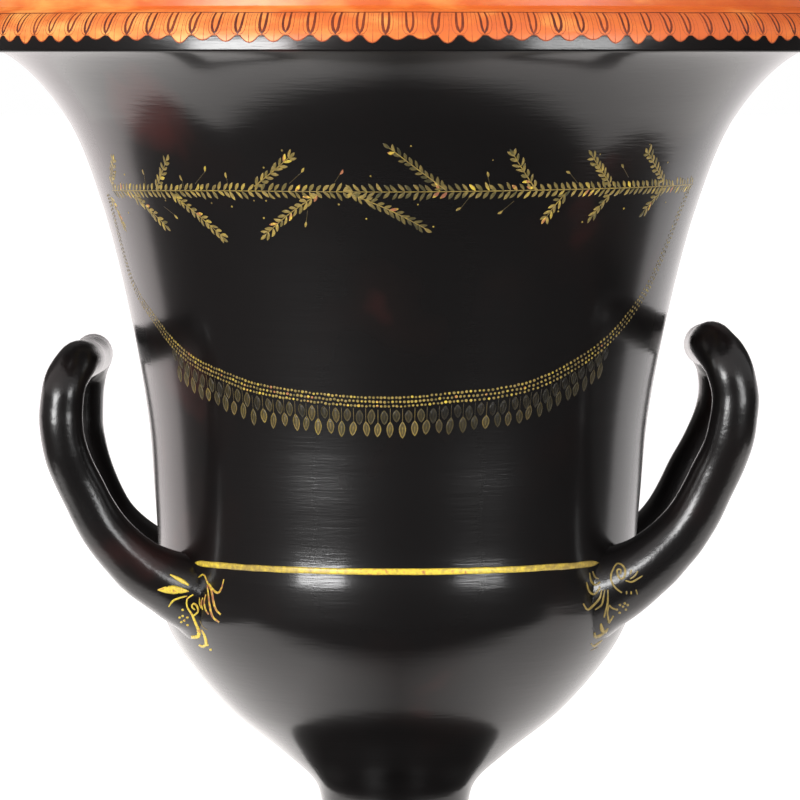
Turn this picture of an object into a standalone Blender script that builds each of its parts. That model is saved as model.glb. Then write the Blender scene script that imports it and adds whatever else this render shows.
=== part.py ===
"""Calyx krater: a wide-mouthed mixing bowl on a low foot, with two loop handles, all one piece of pottery.

Metres, +Z up. The origin is on the table, under the middle of the mouth. +X is towards one handle, and -Y
is the front. Run it with blender --background --python part.py, or from Blender's text editor.
"""

import math

import bmesh
import bpy
from mathutils import Vector

MM = 0.001

# Driving dimensions, in millimetres.
HEIGHT = 302.0
MOUTH_RADIUS = 161.7  # the black band round the lip, the widest part
WALL = 5.5
BOWL_FLOOR = 46.6  # the middle of the bowl's floor, inside
FLOOR_EDGE = 50.0  # where the floor turns up into the side
FOOT_RADIUS = 58.0
RESTING_RING = (49.5, 57.0)  # inner and outer radius of the flat ring that it stands on
STEM_RADIUS = 23.8
STEM_TOP = 26.5
HANDLE_TOP = 179.2  # centre line of the handle's bar
HANDLE_FOOT = (75.0, 100.0)  # radius and height at which the handles leave the wall
LEAN = 2.2  # hand-thrown: the foot sits this far off the middle of the mouth

# Lip: a quarter-round over a straight band, which hangs down as a drip edge.
BAND_FOOT = 276.2
BAND_TOP = 280.8
QUARTER_ROUND = 8.9
LEDGE = 0.8  # step up from the quarter-round to the fascia
DRIP_ROUNDING = 1.0
FASCIA_RADIUS = 151.4
FASCIA_FLARE = 0.6  # the fascia leans out by this much up to the rim
RIM_ROUNDING = 3.0

# The wall's outer face from under the lip down to the stem: radius, height.
WALL_LINE = [
    (148.0, 282.0),
    (128.0, 274.5),
    (110.0, 255.0),
    (98.2, 227.0),
    (88.8, 191.0),
    (82.4, 156.0),
    (80.3, 132.0),
    (79.1, 115.5),
    (79.0, 105.0),
    (77.1, 91.0),
    (71.1, 79.0),
    (54.8, 59.5),
    (36.9, 45.0),
    (26.4, 35.0),
    (STEM_RADIUS, STEM_TOP),
]

# Half of a handle's centre line, from the middle of the bar to the root inside the wall: out from the
# axis, to the side, height, and the clay's radius there.
HANDLE_LINE = [
    (102.0, 0.0, HANDLE_TOP, 6.3),
    (102.0, 26.0, 179.6, 6.5),
    (103.8, 46.8, 178.6, 6.8),
    (106.8, 53.9, 172.5, 7.0),
    (108.1, 54.6, 162.5, 7.1),
    (106.9, 53.6, 150.5, 7.2),
    (102.6, 50.0, 138.6, 7.4),
    (93.8, 46.0, 121.5, 7.9),
    (83.2, 42.4, 110.0, 9.3),
    (73.0, 38.0, 102.5, 10.8),
    (62.0, 32.0, 95.5, 11.5),
]

# Bent by hand, no two handles match. Each has its own reach and rise away from the handle's foot, thickness,
# and slope from front up to back down; then how far each point of its front leg and of its back leg stands out
# of the line above, from the top down.
RIGHT_HANDLE = (
    (1.0, 1.005, 1.07, 0.05),
    (0.0, -1.0, -2.0, -1.0, 0.0, 0.0, 0.0, 0.0, 0.0, 0.0, 0.0),
    (0.0, 0.5, 1.5, 2.0, 1.6, -0.5, -2.4, -2.4, -1.8, -1.0, 0.0),
)
LEFT_HANDLE = (
    (1.02, 0.952, 0.98, 0.02),
    (0.0, 0.0, 0.0, 0.0, 0.0, 0.0, 0.0, 0.0, 0.6, 0.0, 0.0),
    (0.0, -0.4, -1.2, -1.8, -2.0, -1.2, 0.4, 1.8, 1.8, 1.0, 0.0),
)

TURNED_SIDES = 52
STEPS_PER_SPAN = 2
HANDLE_BEVEL_RESOLUTION = 3


def smooth_through(knots, steps):
    """Points on a centripetal Catmull-Rom curve through the knots, with this many steps to a span."""
    knots = [Vector(k) for k in knots]
    knots = [2 * knots[0] - knots[1]] + knots + [2 * knots[-1] - knots[-2]]
    points = []
    for a, b, c, d in zip(knots, knots[1:], knots[2:], knots[3:]):
        ab, bc, cd = ((q - p).length ** 0.5 for p, q in ((a, b), (b, c), (c, d)))
        leaving = ((b - a) / ab - (c - a) / (ab + bc) + (c - b) / bc) * bc
        arriving = ((c - b) / bc - (d - b) / (bc + cd) + (d - c) / cd) * bc
        for step in range(steps):
            t = step / steps
            points.append(
                (2 * t**3 - 3 * t**2 + 1) * b
                + (t**3 - 2 * t**2 + t) * leaving
                + (3 * t**2 - 2 * t**3) * c
                + (t**3 - t**2) * arriving
            )
    return points + [knots[-2]]


def arc(centre, radius, start, end, steps):
    """Points on an arc of a profile, angles in degrees from outward (+r) towards up (+z)."""
    angles = [math.radians(start + (end - start) * i / steps) for i in range(steps + 1)]
    return [Vector((centre[0] + radius * math.cos(a), centre[1] + radius * math.sin(a))) for a in angles]


def set_in(line, distance):
    """The line moved sideways by this distance, to the inside of the wall."""
    moved = []
    for i, point in enumerate(line):
        along = (line[min(i + 1, len(line) - 1)] - line[max(i - 1, 0)]).normalized()
        moved.append(point + distance * Vector((along.y, -along.x)))
    return moved


def lip_profile():
    """The rim's top, the plain fascia, the quarter-round, the band and its drip edge, from the top down."""
    rim_centre = (FASCIA_RADIUS + FASCIA_FLARE - RIM_ROUNDING, HEIGHT - RIM_ROUNDING)
    rim = arc(rim_centre, RIM_ROUNDING, 90, 0, 2)
    step = [Vector((FASCIA_RADIUS, BAND_TOP + QUARTER_ROUND + LEDGE))]
    moulding = arc((MOUTH_RADIUS - QUARTER_ROUND, BAND_TOP), QUARTER_ROUND, 90, 0, 3)
    drip = arc((MOUTH_RADIUS - DRIP_ROUNDING, BAND_FOOT + DRIP_ROUNDING), DRIP_ROUNDING, 0, -90, 2)
    groove = [Vector((157.2, 277.4)), Vector((153.4, 280.6))]
    return rim + step + moulding + drip + groove


def foot_profile():
    """The small ring on the stem, the spreading foot with its two steps, and the hollow underneath."""
    ring = [Vector((24.2, 25.0))] + arc((25.2, 23.6), 1.5, 60, -60, 2)
    spread = [Vector((27.2, 20.2)), Vector((33.0, 16.3)), Vector((42.0, 13.8))]
    upper_edge = arc((FOOT_RADIUS - 7.4, 8.8), 4.0, 80, 0, 2)
    lower_edge = [
        Vector((FOOT_RADIUS - 2.8, 7.6)),
        Vector((FOOT_RADIUS - 0.8, 7.2)),
        Vector((FOOT_RADIUS, 6.2)),
        Vector((FOOT_RADIUS, 1.0)),
    ]
    underside = [
        Vector((RESTING_RING[1], 0.0)),
        Vector((RESTING_RING[0], 0.0)),
        Vector((RESTING_RING[0] - 2.4, 4.6)),
        Vector((35.0, 7.4)),
        Vector((21.0, 13.0)),
        Vector((11.5, 21.0)),
        Vector((0.0, 24.0)),
    ]
    return ring + spread + upper_edge + lower_edge + underside


def vessel_profile():
    """The wall's closed outline, from the middle of the bowl's floor up over the rim and down to the foot."""
    outside = smooth_through(WALL_LINE, STEPS_PER_SPAN)
    inside = [p for p in set_in(outside, WALL)[::STEPS_PER_SPAN] if p.y > FLOOR_EDGE][1:]
    floor = [Vector((0.0, BOWL_FLOOR)), Vector((17.0, BOWL_FLOOR + 1.0))]
    rim_top = HEIGHT - RIM_ROUNDING
    rim_inside = [Vector((143.0, 292.2)), Vector((145.6, rim_top)), Vector((146.8, HEIGHT - 0.6))]
    return floor + inside[::-1] + rim_inside + lip_profile() + outside + foot_profile()


def core_profile():
    """The outline of a plug that reaches half-way into the wall, to trim what is pressed on outside."""
    outside = smooth_through(WALL_LINE, STEPS_PER_SPAN)[:-2]
    skin = set_in(outside, WALL / 2)
    return [Vector((0.0, skin[0].y))] + skin + [Vector((0.0, skin[-1].y))]


def lean(mesh):
    """Slides each level sideways by its depth under the band, so that the foot is off the mouth's middle."""
    for vertex in mesh.vertices:
        vertex.co.x += LEAN * (vertex.co.z / BAND_TOP - MM)


def new_object(name, data):
    obj = bpy.data.objects.new(name, data)
    bpy.context.collection.objects.link(obj)
    return obj


def turned(name, profile):
    """A solid turned round the Z axis, from a profile of radius and height with both ends on the axis."""
    bm = bmesh.new()
    verts = [bm.verts.new((p.x * MM, 0.0, p.y * MM)) for p in profile]
    edges = [bm.edges.new(pair) for pair in zip(verts, verts[1:])]
    bmesh.ops.spin(
        bm,
        geom=verts + edges,
        axis=(0, 0, 1),
        angle=math.tau,
        steps=TURNED_SIDES,
        use_merge=True,
    )
    bmesh.ops.remove_doubles(bm, verts=bm.verts, dist=0.01 * MM)
    bmesh.ops.recalc_face_normals(bm, faces=bm.faces)
    mesh = bpy.data.meshes.new(name)
    bm.to_mesh(mesh)
    bm.free()
    lean(mesh)
    return new_object(name, mesh)


def as_cutter(obj):
    obj.hide_render = True
    obj.display_type = "WIRE"
    return obj


def add_boolean(obj, operation, other):
    modifier = obj.modifiers.new(f"{operation.lower()}_{other.name}", "BOOLEAN")
    modifier.operation = operation
    modifier.object = other
    modifier.solver = "EXACT"


def handle_knots(shape, front_out, back_out):
    """The loop's centre line from its front root over the top to its back root."""
    foot_x, foot_z = HANDLE_FOOT
    reach, rise, thickness, slope = shape
    legs = []
    for turn, shifts in ((-1, front_out), (1, back_out)):
        leg = []
        for (x, y, z, r), out in zip(HANDLE_LINE, shifts):
            height = foot_z + (z - foot_z) * rise - slope * turn * y
            leg.append(Vector((foot_x + (x - foot_x) * reach + out, turn * y, height, r * thickness)))
        legs.append(leg)
    front, back = legs
    return front[:0:-1] + back


def rolled_handle(name, side, shape, core):
    """A rolled bar of clay bent into a loop, with its ends trimmed."""
    curve = bpy.data.curves.new(f"{name}_line", "CURVE")
    curve.dimensions = "3D"
    curve.bevel_depth = MM
    curve.bevel_resolution = HANDLE_BEVEL_RESOLUTION
    curve.use_fill_caps = True
    points = smooth_through(handle_knots(*shape), STEPS_PER_SPAN)
    spline = curve.splines.new("POLY")
    spline.points.add(len(points) - 1)
    for target, point in zip(spline.points, points):
        target.co = (side * point.x * MM, point.y * MM, point.z * MM, 1.0)
        target.radius = point.w
    guide = new_object(f"{name}_guide", curve)
    mesh = bpy.data.meshes.new_from_object(guide.evaluated_get(bpy.context.evaluated_depsgraph_get()))
    bpy.data.objects.remove(guide)
    lean(mesh)
    handle = as_cutter(new_object(name, mesh))
    add_boolean(handle, "DIFFERENCE", core)
    return handle


def black_glaze():
    """Glossy black slip over red clay."""
    material = bpy.data.materials.new("black_glaze")
    material.use_nodes = True
    shader = material.node_tree.nodes["Principled BSDF"]
    shader.inputs["Base Color"].default_value = (0.010, 0.009, 0.009, 1.0)
    shader.inputs["Roughness"].default_value = 0.22
    shader.inputs["Metallic"].default_value = 0.0
    return material


def main():
    for obj in list(bpy.data.objects):
        bpy.data.objects.remove(obj, do_unlink=True)
    krater = turned("krater", vessel_profile())
    core = as_cutter(turned("wall_core", core_profile()))
    add_boolean(krater, "UNION", rolled_handle("right_handle", 1, RIGHT_HANDLE, core))
    add_boolean(krater, "UNION", rolled_handle("left_handle", -1, LEFT_HANDLE, core))
    krater.data.materials.append(black_glaze())
    krater.data.shade_smooth()
    krater.data.set_sharp_from_angle(angle=math.radians(40))


main()
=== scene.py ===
"""Looks of the calyx krater: a glossy black pot with a painted orange lip and gold decoration.

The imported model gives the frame: metres, +Z up, +X towards the right handle, -Y the front. The fine pot
replaces the faceted one, and the painted work is laid on its wall as thin raised strokes.
"""

import math
import random
from bisect import bisect_right

import bpy
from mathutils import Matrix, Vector, noise
from mathutils.bvhtree import BVHTree


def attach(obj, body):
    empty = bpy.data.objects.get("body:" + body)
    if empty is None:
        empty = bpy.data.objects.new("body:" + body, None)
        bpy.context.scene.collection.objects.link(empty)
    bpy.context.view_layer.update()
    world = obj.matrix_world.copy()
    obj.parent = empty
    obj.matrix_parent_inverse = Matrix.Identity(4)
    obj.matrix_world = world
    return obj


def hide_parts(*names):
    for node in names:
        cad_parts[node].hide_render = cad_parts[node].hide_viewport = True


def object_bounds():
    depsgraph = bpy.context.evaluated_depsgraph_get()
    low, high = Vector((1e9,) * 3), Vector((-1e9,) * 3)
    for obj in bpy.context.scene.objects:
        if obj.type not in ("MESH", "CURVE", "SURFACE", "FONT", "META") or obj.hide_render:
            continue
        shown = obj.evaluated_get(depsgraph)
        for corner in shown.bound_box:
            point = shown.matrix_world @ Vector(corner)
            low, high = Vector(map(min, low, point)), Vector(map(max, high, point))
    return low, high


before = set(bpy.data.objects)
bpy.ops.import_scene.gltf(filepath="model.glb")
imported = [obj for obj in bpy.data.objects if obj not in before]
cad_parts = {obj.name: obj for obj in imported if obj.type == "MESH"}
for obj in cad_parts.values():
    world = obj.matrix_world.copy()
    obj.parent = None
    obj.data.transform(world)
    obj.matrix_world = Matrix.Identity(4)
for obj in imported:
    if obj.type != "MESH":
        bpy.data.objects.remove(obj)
CAD_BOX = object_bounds()

MM = 0.001

# The pot, in millimetres, as it was built. The wall's line is radius and height, from the lip to the stem.
HEIGHT = (CAD_BOX[1].z - CAD_BOX[0].z) / MM
MOUTH_RADIUS = (CAD_BOX[1].y - CAD_BOX[0].y) / MM / 2
WALL = 5.5
BOWL_FLOOR = 46.6
FLOOR_EDGE = 50.0
LEAN = 2.2
BAND_FOOT = 276.2
BAND_TOP = 280.8
QUARTER_ROUND = 8.9
LEDGE = 0.8
FASCIA_RADIUS = 151.4
FASCIA_FLARE = 0.6
RIM_ROUNDING = 3.0
DRIP_ROUNDING = 1.0
FOOT_RADIUS = 58.0
RESTING_RING = (49.5, 57.0)
WALL_LINE = [
    (148.0, 282.0),
    (128.0, 274.5),
    (110.0, 255.0),
    (98.2, 227.0),
    (88.8, 191.0),
    (82.4, 156.0),
    (80.3, 132.0),
    (79.1, 116.5),
    (79.0, 110.5),
    (79.05, 105.0),
    (78.5, 98.0),
    (77.1, 91.0),
    (71.1, 79.0),
    (54.8, 59.5),
    (36.9, 45.0),
    (26.4, 35.0),
    (23.8, 26.5),
]
# A loop's centre line from the middle of its bar to its root: out, to the side, height and the clay's radius.
HANDLE_FOOT = (75.0, 100.0)
HANDLE_LINE = [
    (102.0, 0.0, 179.2, 6.3),
    (102.0, 26.0, 179.6, 6.5),
    (103.8, 46.8, 178.6, 6.8),
    (106.8, 53.9, 172.5, 7.0),
    (108.1, 54.6, 162.5, 7.1),
    (106.9, 53.6, 150.5, 7.2),
    (102.6, 50.0, 138.6, 7.4),
    (93.8, 46.0, 121.5, 7.9),
    (83.2, 42.4, 110.0, 9.3),
    (73.0, 38.0, 102.5, 10.8),
    (62.0, 32.0, 95.5, 11.5),
]
# How each loop differs: its reach, its height, its thickness, how far its front stands above its back, and
# how far each point of its front leg and of its back leg stands out of the line, from the top down.
RIGHT_HANDLE = (
    (1.0, 1.005, 1.07, 0.05),
    (0.0, -1.0, -2.0, -1.0, 0.0, 0.0, 0.0, 0.0, 0.0, 0.0, 0.0),
    (0.0, 0.5, 1.5, 2.0, 1.6, -0.5, -2.4, -2.4, -1.8, -1.0, 0.0),
)
LEFT_HANDLE = (
    (1.02, 0.952, 0.98, 0.02),
    (0.0, 0.0, 0.0, 0.0, 0.0, 0.0, 0.0, 0.0, 0.6, 0.0, 0.0),
    (0.0, -0.4, -1.2, -1.8, -2.0, -1.2, 0.4, 1.8, 1.8, 1.0, 0.0),
)

# How finely the pot is modelled here.
TURNED_SIDES = 256
WALL_STEPS = 10
HANDLE_STEPS = 10
PAINT_ROOM = 0.3  # the moulding is set in by this much, so that the paint on it stays inside the pot's size
COAT_RISE = 0.15  # how far the slip's face stands out of the set-in moulding
COAT = 0.25
ARRIS_WALL = math.radians(38)  # edges sharper than these stay crisp
ARRIS_BAND = math.radians(40)


def smooth_through(knots, steps):
    """Points on a centripetal Catmull-Rom curve through the knots, with this many steps to a span."""
    knots = [Vector(k) for k in knots]
    knots = [2 * knots[0] - knots[1]] + knots + [2 * knots[-1] - knots[-2]]
    points = []
    for a, b, c, d in zip(knots, knots[1:], knots[2:], knots[3:]):
        ab, bc, cd = ((q - p).length ** 0.5 for p, q in ((a, b), (b, c), (c, d)))
        leaving = ((b - a) / ab - (c - a) / (ab + bc) + (c - b) / bc) * bc
        arriving = ((c - b) / bc - (d - b) / (bc + cd) + (d - c) / cd) * bc
        for step in range(steps):
            t = step / steps
            points.append(
                (2 * t**3 - 3 * t**2 + 1) * b
                + (t**3 - 2 * t**2 + t) * leaving
                + (3 * t**2 - 2 * t**3) * c
                + (t**3 - t**2) * arriving
            )
    return points + [knots[-2]]


def arc(centre, radius, start, end, steps):
    """Points on an arc of a profile, angles in degrees from outward towards up."""
    angles = [math.radians(start + (end - start) * i / steps) for i in range(steps + 1)]
    return [Vector((centre[0] + radius * math.cos(a), centre[1] + radius * math.sin(a))) for a in angles]


def set_in(line, distance):
    """The line moved sideways by this distance, to the inside of the wall."""
    moved = []
    for i, point in enumerate(line):
        along = (line[min(i + 1, len(line) - 1)] - line[max(i - 1, 0)]).normalized()
        moved.append(point + distance * Vector((along.y, -along.x)))
    return moved


OUTSIDE = smooth_through(WALL_LINE, WALL_STEPS)


def lean_at(z):
    """How far a level is slid sideways, so that the foot is off the mouth's middle."""
    return LEAN * (z / BAND_TOP - 1)


def lean(mesh):
    for vertex in mesh.vertices:
        vertex.co.x += lean_at(vertex.co.z / MM) * MM


def moulding_line(set_back):
    """The band's face from the fascia's top down to the drip, set back by this much."""
    upright = FASCIA_RADIUS - set_back
    fascia = [Vector((upright + FASCIA_FLARE, HEIGHT - RIM_ROUNDING)), Vector((upright + 0.3, 295.0))]
    ledge = [Vector((upright, BAND_TOP + QUARTER_ROUND + LEDGE))]
    quarter = arc((MOUTH_RADIUS - QUARTER_ROUND, BAND_TOP), QUARTER_ROUND - set_back, 90, 0, 16)
    edge = [Vector((MOUTH_RADIUS - set_back, BAND_FOOT + DRIP_ROUNDING))]
    return fascia + ledge + quarter + edge


def lip_profile():
    """The rim's top, the fascia, the quarter-round, the band and its drip edge, from the top down."""
    rim_centre = (FASCIA_RADIUS - PAINT_ROOM + FASCIA_FLARE - RIM_ROUNDING, HEIGHT - RIM_ROUNDING)
    rim = arc(rim_centre, RIM_ROUNDING, 90, 0, 8)
    drip_centre = (MOUTH_RADIUS - PAINT_ROOM - DRIP_ROUNDING, BAND_FOOT + DRIP_ROUNDING)
    drip = arc(drip_centre, DRIP_ROUNDING, 0, -90, 6)
    groove = [Vector((157.2, 277.4)), Vector((153.4, 280.6))]
    return rim + moulding_line(PAINT_ROOM)[1:-1] + drip + groove


def foot_profile():
    """The small ring on the stem, the spreading foot with its two steps, and the hollow underneath."""
    ring = [Vector((24.2, 25.0))] + arc((25.2, 23.6), 1.5, 60, -60, 6)
    spread = smooth_through([(27.2, 20.2), (33.0, 16.3), (42.0, 13.8), (49.0, 12.9)], 4)
    upper_edge = arc((FOOT_RADIUS - 7.4, 8.8), 4.0, 80, 0, 8)
    lower_edge = [Vector((FOOT_RADIUS - 2.8, 7.6))] + arc((FOOT_RADIUS - 1.0, 6.2), 1.0, 90, 0, 4)
    underside = [
        Vector((FOOT_RADIUS, 1.0)),
        Vector((RESTING_RING[1], 0.0)),
        Vector((RESTING_RING[0], 0.0)),
        Vector((RESTING_RING[0] - 2.4, 4.6)),
        Vector((35.0, 7.4)),
        Vector((21.0, 13.0)),
        Vector((11.5, 21.0)),
        Vector((0.0, 24.0)),
    ]
    return ring + spread + upper_edge + lower_edge + underside


def vessel_profile():
    """The wall's closed outline, from the middle of the bowl's floor up over the rim and down to the foot."""
    inside = [p for p in set_in(OUTSIDE, WALL)[::2] if p.y > FLOOR_EDGE][1:]
    floor = [Vector((0.0, BOWL_FLOOR)), Vector((17.0, BOWL_FLOOR + 1.0))]
    rim_top = HEIGHT - RIM_ROUNDING
    rim_inside = [Vector((143.0, 292.2)), Vector((145.6, rim_top)), Vector((146.8, HEIGHT - 0.6))]
    return floor + inside[::-1] + rim_inside + lip_profile() + OUTSIDE + foot_profile()


def core_profile():
    """The outline of a plug that reaches half-way into the wall, to trim the handles' ends."""
    skin = set_in(OUTSIDE[: -2 * WALL_STEPS : 2], WALL / 2)
    return [Vector((0.0, skin[0].y))] + skin + [Vector((0.0, skin[-1].y))]


def linear(hex_colour):
    """A hex sRGB colour as linear RGBA."""
    channels = [int(hex_colour[i : i + 2], 16) / 255 for i in (1, 3, 5)]
    return [c / 12.92 if c <= 0.04045 else ((c + 0.055) / 1.055) ** 2.4 for c in channels] + [1.0]


def add(tree, kind, inputs=(), **settings):
    """Adds a node with its settings; each input takes a value or another node's output."""
    node = tree.nodes.new(kind)
    for key, value in settings.items():
        setattr(node, key, value)
    for name, value in dict(inputs).items():
        socket = node.inputs[name]
        if isinstance(value, bpy.types.NodeSocket):
            tree.links.new(value, socket)
        else:
            socket.default_value = value
    return node


def start_modelling():
    if bpy.context.mode != "OBJECT":
        bpy.ops.object.mode_set(mode="OBJECT")
    bpy.ops.object.select_all(action="DESELECT")


def select_only(piece):
    start_modelling()
    piece.select_set(True)
    bpy.context.view_layer.objects.active = piece


def turned(name, profile, sides):
    """A profile drawn by extruding one vertex, then spun round the Z axis."""
    start_modelling()
    bpy.ops.mesh.primitive_plane_add(size=MM, location=(profile[0].x * MM, 0, profile[0].y * MM))
    piece = bpy.context.object
    piece.name = name
    bpy.ops.object.transform_apply(location=True)
    bpy.ops.object.mode_set(mode="EDIT")
    bpy.ops.mesh.merge(type="CENTER")
    for a, b in zip(profile, profile[1:]):
        move = ((b.x - a.x) * MM, 0, (b.y - a.y) * MM)
        bpy.ops.mesh.extrude_vertices_move(TRANSFORM_OT_translate={"value": move})
    bpy.ops.mesh.select_all(action="SELECT")
    bpy.ops.mesh.spin(steps=sides, angle=math.tau, center=(0, 0, 0), axis=(0, 0, 1))
    bpy.ops.mesh.select_all(action="SELECT")
    bpy.ops.mesh.remove_doubles(threshold=0.01 * MM)
    bpy.ops.mesh.normals_make_consistent(inside=False)
    bpy.ops.object.mode_set(mode="OBJECT")
    lean(piece.data)
    return piece


WALL_HEIGHTS = [p.y for p in OUTSIDE[::-1]]
WALL_RADII = [p.x for p in OUTSIDE[::-1]]


def between(places, values, place):
    """The value at a place, in proportion between its two neighbours."""
    i = min(max(bisect_right(places, place), 1), len(places) - 1)
    share = (place - places[i - 1]) / (places[i] - places[i - 1])
    return values[i - 1] + (values[i] - values[i - 1]) * share


def wall_radius(z):
    return between(WALL_HEIGHTS, WALL_RADII, z)


def pot_point(angle, radius, z):
    """A point in metres, this many degrees round from the front."""
    turn = math.radians(angle)
    return Vector((radius * math.sin(turn) + lean_at(z), -radius * math.cos(turn), z)) * MM


def wall_patch(angle, z):
    """Gives points laid on the outer wall round here: right, up and off the surface, in millimetres."""
    here = wall_radius(z)

    def place(right, up, off):
        slope = (wall_radius(z + up + 1) - wall_radius(z + up - 1)) / 2
        tilt = math.hypot(1, slope)
        radius = wall_radius(z + up) + off / tilt
        return pot_point(angle + math.degrees(right / here), radius, z + up - off * slope / tilt)

    return place


# The moulding's painted face, measured down from the top of the quarter round.
BAND_FACE = moulding_line(PAINT_ROOM - COAT_RISE)
ROUND_STARTS = 3  # the points above it are the fascia's and the ledge's
BAND_DEPTHS = [0.0]
for above, below in zip(BAND_FACE, BAND_FACE[1:]):
    BAND_DEPTHS.append(BAND_DEPTHS[-1] + (below - above).length)
BAND_DEPTHS = [depth - BAND_DEPTHS[ROUND_STARTS] for depth in BAND_DEPTHS]


def band_patch(angle):
    """Gives points laid on the band round here: right, down and off the surface, in millimetres."""

    def place(right, down, off):
        here = between(BAND_DEPTHS, BAND_FACE, down)
        along = between(BAND_DEPTHS, BAND_FACE, down + 0.4) - between(BAND_DEPTHS, BAND_FACE, down - 0.4)
        outward = Vector((-along.y, along.x)).normalized()
        radius, z = here + outward * off
        return pot_point(angle + math.degrees(right / MOUTH_RADIUS), radius, z)

    return place


def shaped(values, t):
    """The value at t, from values evenly spaced from 0 to 1."""
    t = min(max(t, 0.0), 1.0) * (len(values) - 1)
    i = min(int(t), len(values) - 2)
    return values[i] + (values[i + 1] - values[i]) * (t - i)


BARS = {}


def blank_bar(sections):
    """A six-sided bar along X, one unit long and one unit to each side, for strokes to be bent from."""
    if sections not in BARS:
        start_modelling()
        upright = (0, math.radians(90), 0)
        bpy.ops.mesh.primitive_circle_add(vertices=6, radius=1, fill_type="NGON", rotation=upright)
        bar = bpy.context.object
        bpy.ops.object.transform_apply(rotation=True)
        bpy.ops.object.mode_set(mode="EDIT")
        for _ in range(sections):
            bpy.ops.mesh.extrude_region_move(TRANSFORM_OT_translate={"value": (1 / sections, 0, 0)})
        bpy.ops.mesh.select_all(action="SELECT")
        bpy.ops.mesh.normals_make_consistent(inside=False)
        bpy.ops.object.mode_set(mode="OBJECT")
        BARS[sections] = (
            [vertex.co.copy() for vertex in bar.data.vertices],
            [tuple(polygon.vertices) for polygon in bar.data.polygons],
        )
        bpy.data.objects.remove(bar)
    return BARS[sections]


class PaintLayer:
    """Brush strokes of one paint, each a bar bent along its line on the pot, gathered into one piece."""

    def __init__(self):
        self.points = []
        self.faces = []
        self.tints = []
        self.strengths = []

    def stroke(self, place, line, outline, tint=0.5, strength=1.0, height=0.1, sections=8):
        """Lays a stroke: its line and half-widths in millimetres, its hue, cover and thickness.

        Half-widths, hues and covers are given at even steps along it; one number stands for all of it.
        """
        tints = tint if isinstance(tint, list) else [tint, tint]
        strengths = strength if isinstance(strength, list) else [strength, strength]
        corners, faces = blank_bar(sections)
        line = [Vector(p) for p in line]
        lengths = [0.0]
        for a, b in zip(line, line[1:]):
            lengths.append(lengths[-1] + (b - a).length)
        first = len(self.points)
        for corner in corners:
            run = corner.x * lengths[-1]
            here = between(lengths, line, run)
            reach = lengths[-1] / sections / 2
            ahead = between(lengths, line, min(run + reach, lengths[-1]))
            behind = between(lengths, line, max(run - reach, 0.0))
            along = (ahead - behind).normalized()
            half = shaped(outline, corner.x)
            spot = here + Vector((-along.y, along.x)) * corner.y * half
            swell = min(1.0, half / max(outline) + 0.3)
            self.points.append(place(spot.x, spot.y, corner.z * height * swell))
            self.tints.append(shaped(tints, corner.x))
            self.strengths.append(shaped(strengths, corner.x))
        self.faces += [[first + i for i in face] for face in faces]

    def finish(self, name, material):
        start_modelling()
        mesh = bpy.data.meshes.new(name)
        mesh.from_pydata(self.points, [], self.faces)
        for key, values in (("tint", self.tints), ("strength", self.strengths)):
            mesh.attributes.new(key, "FLOAT", "POINT").data.foreach_set("value", values)
        piece = bpy.data.objects.new(name, mesh)
        bpy.context.scene.collection.objects.link(piece)
        piece.data.materials.append(material)
        select_only(piece)
        bpy.ops.object.mode_set(mode="EDIT")
        bpy.ops.mesh.select_all(action="SELECT")
        bpy.ops.mesh.normals_make_consistent(inside=False)
        bpy.ops.object.mode_set(mode="OBJECT")
        bpy.ops.object.shade_smooth()
        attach(piece, "root")
        return piece


# Materials


def new_material(name):
    material = bpy.data.materials.new(name)
    material.use_nodes = True
    tree = material.node_tree
    return material, tree, tree.nodes["Principled BSDF"]


def colour_ramp(tree, factor, stops):
    ramp = add(tree, "ShaderNodeValToRGB", {"Fac": factor})
    elements = ramp.color_ramp.elements
    for _ in stops[2:]:
        elements.new(0.5)
    for element, (place, colour) in zip(elements, stops):
        element.position = place
        element.color = linear(colour)
    return ramp.outputs["Color"]


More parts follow.
